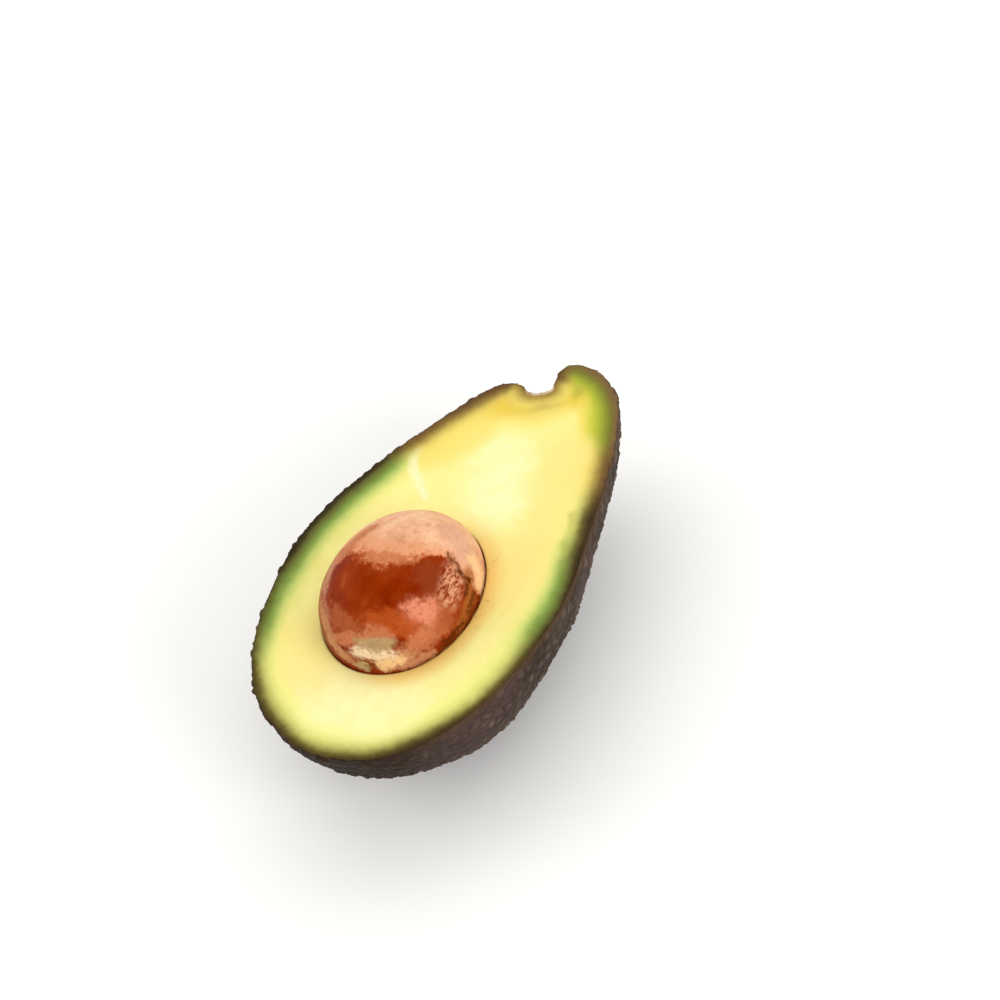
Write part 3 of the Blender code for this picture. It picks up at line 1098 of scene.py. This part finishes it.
def seed_finish():
    """A rust-brown coat, pale and paper-like towards the stem end under a painted highlight, cracked on one
    side, with a cream scar, a painted pink highlight, a painted tan sheen on the left and painted shade where
    it meets the flesh.
    """
    made, shader, tree = new_material(
        "seed finish",
        Coat_Roughness=0.25,
        Specular_IOR_Level=0.03,
        Specular_Tint=(1.0, 0.34, 0.1, 1.0),
    )
    _, local, x, y, z = place_from(tree, FRUIT_PLACE + SEED_CENTRE)
    streaks = tree.noise(tree.vector("MULTIPLY", local, (1.0, 0.3, 1.0)), 0.42, 4.0, 0.6)
    clouds = tree.noise(local, 0.14, 3.0)
    ragged = tree.noise(local, 0.35, 5.0, 0.65) - 0.5
    grit = tree.noise(local, 1.1, 4.0, 0.7).step(0.2, 0.7, 0.4, 1.7)
    rust = (streaks * 0.6 + clouds * 0.6 - 0.1).ramp(
        (0.25, colour(120, 24, 0)),
        (0.45, colour(138, 38, 0)),
        (0.62, colour(152, 52, 4)),
        (0.85, colour(182, 86, 36)),
    )
    # The pale zone towards the stem end is partly the coat's thin paper-like skin and partly a painted
    # highlight.
    papery_and_highlight = (streaks * 0.5 + clouds * 0.5).ramp(
        (0.3, colour(200, 134, 98)),
        (0.5, colour(236, 178, 140)),
        (0.7, colour(253, 212, 172)),
    )
    left_edge = x.step(-0.5, -5.0, -1.8, -1.2) + x.step(-11.0, -15.0, 0.0, 5.0)
    edge = left_edge + x.step(0.5, 7.0, 0.0, 4.4) + x.step(6.4, 9.6, 0.0, 4.7) - x.step(10.0, 13.0, 0.0, 1.2)
    above = (y - edge + ragged * 8.0) / x.step(6.0, 9.5, 2.4, 0.7)
    zone = above + (grit - 1.0) * 0.8
    toasted = tree.blend(zone.step(-0.8, 0.1), rust, colour(190, 98, 54))
    peach = tree.blend(zone.step(-0.2, 0.7), toasted, colour(232, 158, 114))
    surface = tree.blend(zone.step(0.4, 3.6), peach, papery_and_highlight)
    drift = tree.vector("SUBTRACT", tree.noise(local, 0.4, 5.0, 0.65, "Color"), (0.5, 0.5, 0.5))
    drifting = tree.vector("ADD", local, tree.vector("SCALE", drift, scale=4.5))
    for patch in SEED_PATCHES:
        surface = seed_mark(tree, surface, drifting, patch, grit)
    flecks = tree.noise(tree.vector("MULTIPLY", local, (1.0, 0.4, 0.8)), 1.5, 3.0, 0.6)
    fleck_zone = from_seed_line(tree, local, FLECKED_LINE).step(4.0, 1.0)
    flecked = tree.blend(flecks.step(0.36, 0.6) * fleck_zone * 0.85, surface, colour(242, 172, 132))
    dots = tree.noise(local, 1.7, 3.0, 0.6)
    surface = tree.blend(dots.step(0.5, 0.66) * fleck_zone * 0.65, flecked, colour(116, 46, 12))
    breaks = dots.step(0.3, 0.68, 1.7, 0.5)
    for dark_line in SEED_CRACKS_AND_SHADE:
        surface = seed_mark(tree, surface, drifting, dark_line, breaks)
    # Painted shade: the coat darkens just above the cut, where the seed meets the flesh, less so along the
    # paler base.
    off_base = from_seed_line(tree, local, PALE_BASE_LINE).step(2.5, 5.0, 0.3, 1.0)
    rim = z.step(1.3, 0.1) * off_base * (dots.step(0.35, 0.6) * 0.6 + 0.3)
    seam_shaded = tree.blend(rim, surface, colour(104, 48, 12))
    mottles = tree.noise(local, 0.9, 4.0, 0.65)
    mottled = tree.blend(mottles.step(0.52, 0.7) * 0.25, seam_shaded, colour(146, 74, 36))
    gloss = zone.step(-0.6, 1.0, 0.3, 0.46)
    feed(
        tree, shader,
        Base_Color=mottled,
        Roughness=gloss + (streaks - 0.5) * 0.2,
        Coat_Weight=clouds.step(0.4, 0.6, 0.0, 0.04),
        Normal=bump(tree, streaks + mottles * 0.5, 0.12 * MM, 0.5),
    )
    return made


def build_seed():
    """An egg-shaped seed with a flatter base towards the blossom end."""
    work = bmesh.new()
    bmesh.ops.create_icosphere(work, subdivisions=SEED_SUBDIVISIONS, radius=1.0)
    mesh = bpy.data.meshes.new("seed_whole")
    work.to_mesh(mesh)
    work.free()
    points = np.empty(len(mesh.vertices) * 3)
    mesh.vertices.foreach_get("co", points)
    points = points.reshape(-1, 3)
    along = points[:, 1]
    width = SEED_RADIUS * (1.0 - SEED_TAPER * along)
    base = SEED_BASE_FLATTENING * smooth_step(SEED_BASE_START, 1.0, -along)
    points = np.stack([width * points[:, 0], SEED_HALF_LENGTH * (along + base), width * points[:, 2]], axis=1)
    mesh.vertices.foreach_set("co", points.ravel())
    mesh.transform(Matrix.Translation(FRUIT_PLACE + SEED_CENTRE))
    mesh.shade_smooth()
    obj = add_object("seed_whole", mesh)
    apply_tree(obj, seed_relief_tree(), {"Material": seed_finish()})
    keep_in_box(obj.data)
    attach(obj, "root")
    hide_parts("seed")


# Studio

def build_floor():
    made, shader, tree = new_material("studio floor", Roughness=0.7, Specular_IOR_Level=0.2)
    place = tree.node("ShaderNodeTexCoord", {}, {}, "Object")
    shade = tree.noise(place, 3.0, 2.0)
    near = tree.blend(shade, (0.9, 0.9, 0.89, 1.0), (0.87, 0.87, 0.87, 1.0))
    far = tree.vector("LENGTH", place).step(0.6, 3.0)
    feed(tree, shader, Base_Color=tree.blend(far, near, (1.0, 1.0, 1.0, 1.0)))
    mesh = bpy.data.meshes.new("studio_floor")
    corners = [(-1.0, -1.0, 0.0), (1.0, -1.0, 0.0), (1.0, 1.0, 0.0), (-1.0, 1.0, 0.0)]
    mesh.from_pydata([Vector(corner) * FLOOR_REACH for corner in corners], [], [(0, 1, 2, 3)])
    mesh.materials.append(made)
    floor = add_object("studio_floor", mesh)


def camera_axes():
    """The directions to the right, up and back towards the eye, for the photograph's view of the fruit."""
    back = Vector((
        math.sin(VIEW_AZIMUTH) * math.cos(VIEW_ELEVATION),
        -math.cos(VIEW_AZIMUTH) * math.cos(VIEW_ELEVATION),
        math.sin(VIEW_ELEVATION),
    ))
    level = Vector((0.0, 0.0, 1.0)).cross(back).normalized()
    upright = back.cross(level)
    right = level * math.cos(VIEW_ROLL) + upright * math.sin(VIEW_ROLL)
    return right, back.cross(right), back


def build_camera():
    right, up, back = camera_axes()
    data = bpy.data.cameras.new("camera")
    data.lens = LENS
    data.sensor_width = SENSOR_WIDTH
    data.clip_start = 0.01
    camera = bpy.data.objects.new("camera", data)
    turn = Matrix((right, up, back)).transposed()
    camera.matrix_world = Matrix.Translation(VIEW_AIM + back * VIEW_DISTANCE) @ turn.to_4x4()
    bpy.context.scene.collection.objects.link(camera)
    bpy.context.scene.camera = camera


def softbox(name, direction, distance, width, height, watts, tint=(1.0, 1.0, 1.0)):
    """A rectangular light that shines at the fruit from a direction, its width along the picture's level."""
    data = bpy.data.lights.new(name, "AREA")
    data.shape = "RECTANGLE"
    data.size = width
    data.size_y = height
    data.energy = watts
    data.color = tint
    light = bpy.data.objects.new(name, data)
    back = Vector(direction).normalized()
    up = back.cross(camera_axes()[0]).normalized()
    turn = Matrix((up.cross(back), up, back)).transposed().to_4x4()
    light.matrix_world = Matrix.Translation(Vector((0.0, 0.0, 0.02)) + back * distance) @ turn
    bpy.context.scene.collection.objects.link(light)


def build_lights():
    world = bpy.data.worlds.new("studio")
    world.use_nodes = True
    background = world.node_tree.nodes["Background"]
    background.inputs["Color"].default_value = (1.0, 0.99, 0.965, 1.0)
    background.inputs["Strength"].default_value = 0.68 * LIGHT_LEVEL
    bpy.context.scene.world = world
    softbox("overhead", (-0.22, 0.56, 0.8), 1.0, 1.5, 0.9, 3.2 * LIGHT_LEVEL, (1.0, 0.985, 0.96))
    softbox("side", (0.9, -0.03, 0.44), 0.8, 0.4, 0.4, 2.4 * LIGHT_LEVEL)
    softbox("fill", (-0.85, -0.35, 0.5), 0.8, 0.5, 0.5, 1.2 * LIGHT_LEVEL, (1.0, 0.97, 0.92))
    bpy.context.scene.view_settings.view_transform = "Standard"


def main():
    build_camera()
    build_peel()
    build_flesh()
    build_seed()
    build_floor()
    build_lights()


main()
